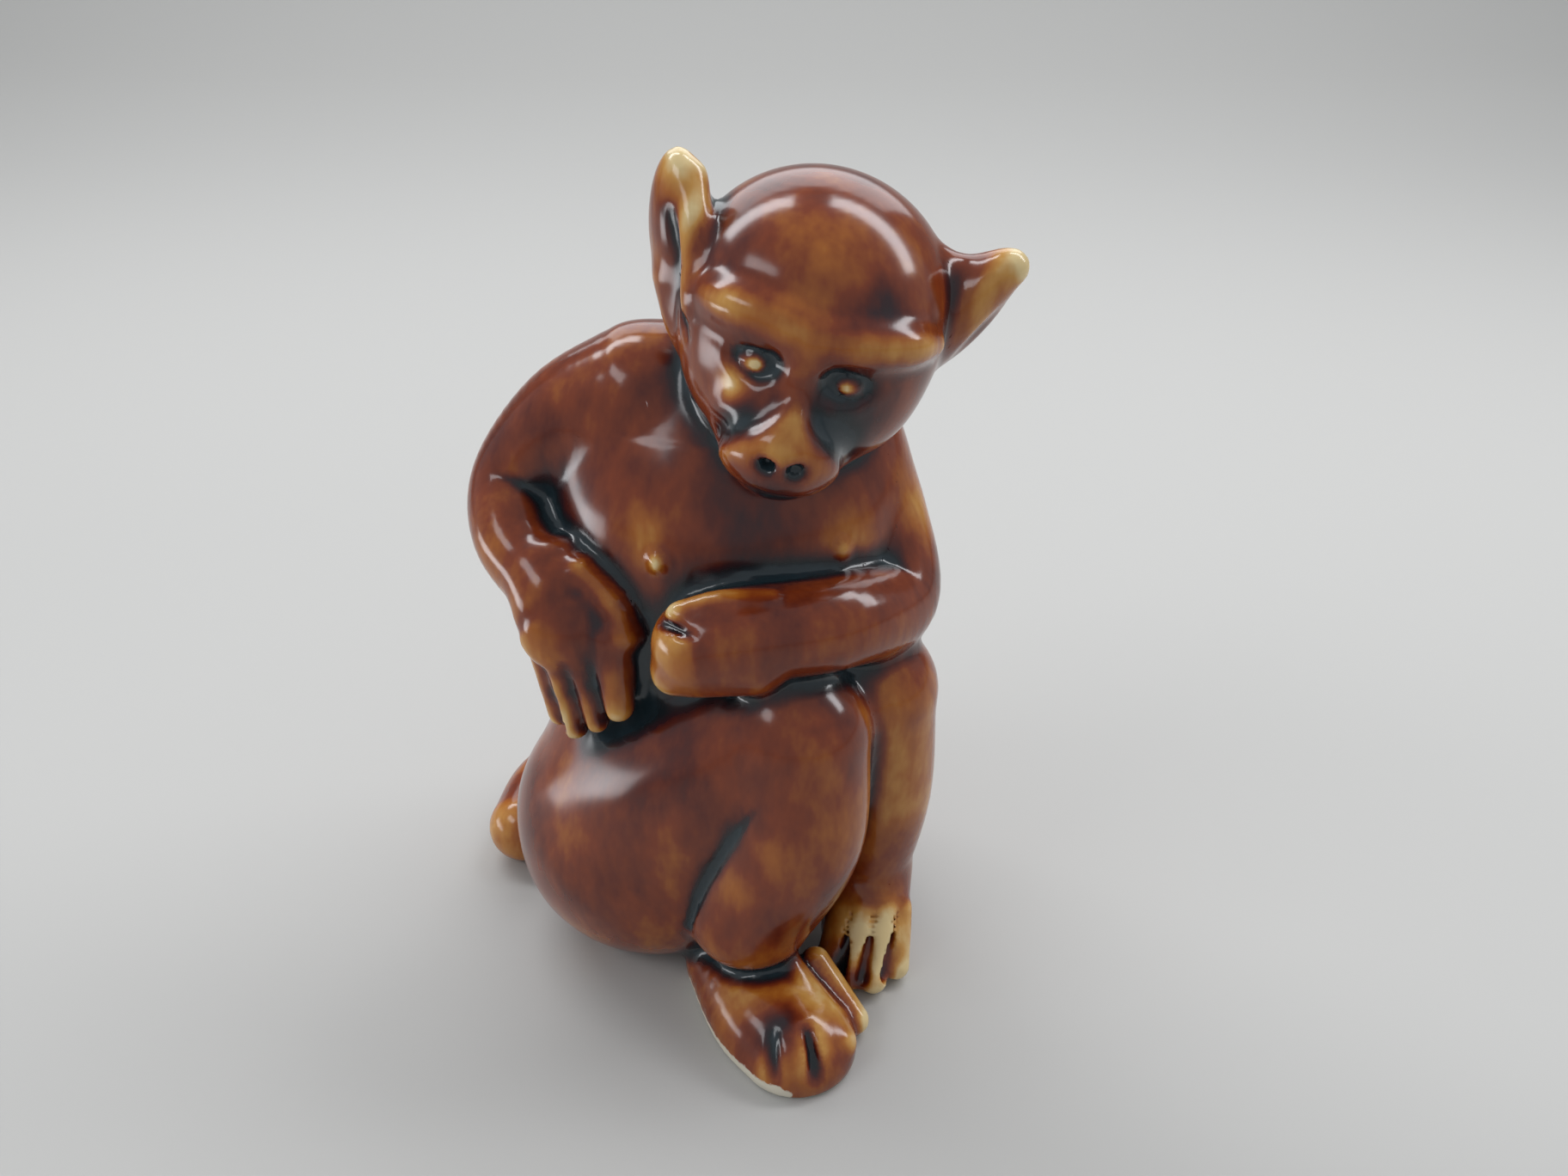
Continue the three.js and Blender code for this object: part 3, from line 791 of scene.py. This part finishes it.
# ---------------------------------------------------------------------------------------------
# The fired sections: each is closed by the skin on its outside and by the joints to its
# neighbours. The figure stands where the frame has it, in metres.
# ---------------------------------------------------------------------------------------------
PLACE = np.array([1.0247, -0.4200, 0.0])  # mm, from the working place to the frame's
MM = 0.001  # m
for number, name in enumerate(SECTIONS, 1):
    mine = np.vstack([faces[behind == number], faces[ahead == number][:, ::-1]])
    skin_side = np.hstack([on_skin[behind == number], on_skin[ahead == number]])
    used, quads = np.unique(mine, return_inverse=True)
    quads = quads.reshape(-1, 4)
    mesh = bpy.data.meshes.new(name + "_fired")
    mesh.from_pydata(((vertices[used] + PLACE) * MM).tolist(), [], quads.tolist())
    mesh.polygons.foreach_set("use_smooth", np.ones(len(quads), bool))
    for label, values in (("glaze_depth_and_painted_highlights", glaze_depth_and_painted_highlights), ("bare", bare)):
        attribute = mesh.attributes.new(label, "FLOAT", "POINT")
        attribute.data.foreach_set("value", values[used].astype(np.float32))
    a, b, c, d = (vertices[mine[:, i]] for i in range(4))
    flat = np.cross(c - a, d - b)
    flat /= np.maximum(np.linalg.norm(flat, axis=1), 1e-12)[:, None]
    corner_normals = np.where(skin_side[:, None, None], normals[mine], flat[:, None, :])
    mesh.normals_split_custom_set(corner_normals.reshape(-1, 3).tolist())
    mesh.materials.append(glaze)
    piece = bpy.data.objects.new(name + "_fired", mesh)
    bpy.context.scene.collection.objects.link(piece)
    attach(piece, "root")
    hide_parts(name)

# ---------------------------------------------------------------------------------------------
# Studio: a pale sweep of floor and wall under a soft sky, with a high and a low window on the left,
# a strip of light over each shoulder and a bright wall behind.
# ---------------------------------------------------------------------------------------------


def sweep(width, front, back, bend, height):
    """A floor that turns up into a wall, in metres: a profile of floor, quarter circle of radius
    bend and wall, carried along x."""
    angle = np.linspace(0, math.pi / 2, 24)
    y = np.hstack([[-front], back - bend + bend * np.sin(angle), [back]])
    z = np.hstack([[0], bend - bend * np.cos(angle), [height]])
    x = np.array([-width / 2, width / 2])
    grid = np.stack([np.tile(x, len(y)), np.repeat(y, 2), np.repeat(z, 2)], 1)
    row = np.arange(len(y) - 1)[:, None] * 2
    return grid, row + np.array([[0, 1, 3, 2]])


grid, quads = sweep(width=5.0, front=1.2, back=1.3, bend=0.5, height=2.2)
backdrop_mesh = bpy.data.meshes.new("backdrop")
backdrop_mesh.from_pydata(grid.tolist(), [], quads.tolist())
backdrop_mesh.polygons.foreach_set("use_smooth", np.ones(len(quads), bool))
paper = bpy.data.materials.new("pale_paper")
paper.use_nodes = True
paper_shader = paper.node_tree.nodes["Principled BSDF"]
paper_shader.inputs["Base Color"].default_value = (0.50, 0.49, 0.47, 1)
paper_shader.inputs["Roughness"].default_value = 0.7
backdrop_mesh.materials.append(paper)
backdrop = bpy.data.objects.new("backdrop", backdrop_mesh)
bpy.context.scene.collection.objects.link(backdrop)

FIGURE = np.array([0.0, 0.0, 0.06])  # m, the middle of the figure


def window(name, start, stop, width, power, spread=180):
    """A soft rectangular light between two places, width across, in metres, that faces the figure.
    power is in watts, and spread is the angle in degrees that the light fans out over."""
    start, stop = np.array(start), np.array(stop)
    middle = (start + stop) / 2
    back = middle - FIGURE
    back /= np.linalg.norm(back)
    along = stop - start
    along -= (along @ back) * back
    light = bpy.data.lights.new(name, "AREA")
    light.shape = "RECTANGLE"
    light.size, light.size_y = np.linalg.norm(along), width
    light.energy = power
    light.color = (0.95, 0.97, 1.0)
    light.spread = math.radians(spread)
    along /= np.linalg.norm(along)
    lamp = bpy.data.objects.new(name, light)
    bpy.context.scene.collection.objects.link(lamp)
    turned = Matrix(np.stack([along, np.cross(back, along), back], 1).tolist())
    lamp.matrix_world = Matrix.Translation(middle.tolist()) @ turned.to_4x4()


window("left_window", (-0.60, -0.12, 0.57), (-0.40, -0.46, 0.61), width=0.18, power=0.9)
window("low_window", (-0.26, 0.06, 0.034), (-0.25, -0.10, 0.034), width=0.05, power=0.017, spread=60)
window("left_strip", (-0.444, 0.219, 0.414), (-0.084, 0.243, 0.63), width=0.11, power=1.2)
window("right_strip", (0.56, 0.06, 0.30), (0.12, 0.243, 0.63), width=0.11, power=1.6)
window("back_wall", (-0.8, 1.0, 0.75), (0.8, 1.0, 0.75), width=0.7, power=7.0)

sky = bpy.data.worlds.new("sky")
sky.use_nodes = True
sky.node_tree.nodes["Background"].inputs["Color"].default_value = (0.80, 0.84, 0.88, 1)
sky.node_tree.nodes["Background"].inputs["Strength"].default_value = 0.55
bpy.context.scene.world = sky
bpy.context.scene.view_settings.view_transform = "Standard"

camera_data = bpy.data.cameras.new("camera")
camera_data.sensor_width = 36.0
camera_data.lens = 28.62
camera_data.clip_start = 0.01
camera = bpy.data.objects.new("camera", camera_data)
camera.location = (np.array([8.5, -134.5, 131.0]) + PLACE) * MM
camera.rotation_euler = (math.radians(60), 0, 0)  # looking 30 degrees down
bpy.context.scene.collection.objects.link(camera)
bpy.context.scene.camera = camera
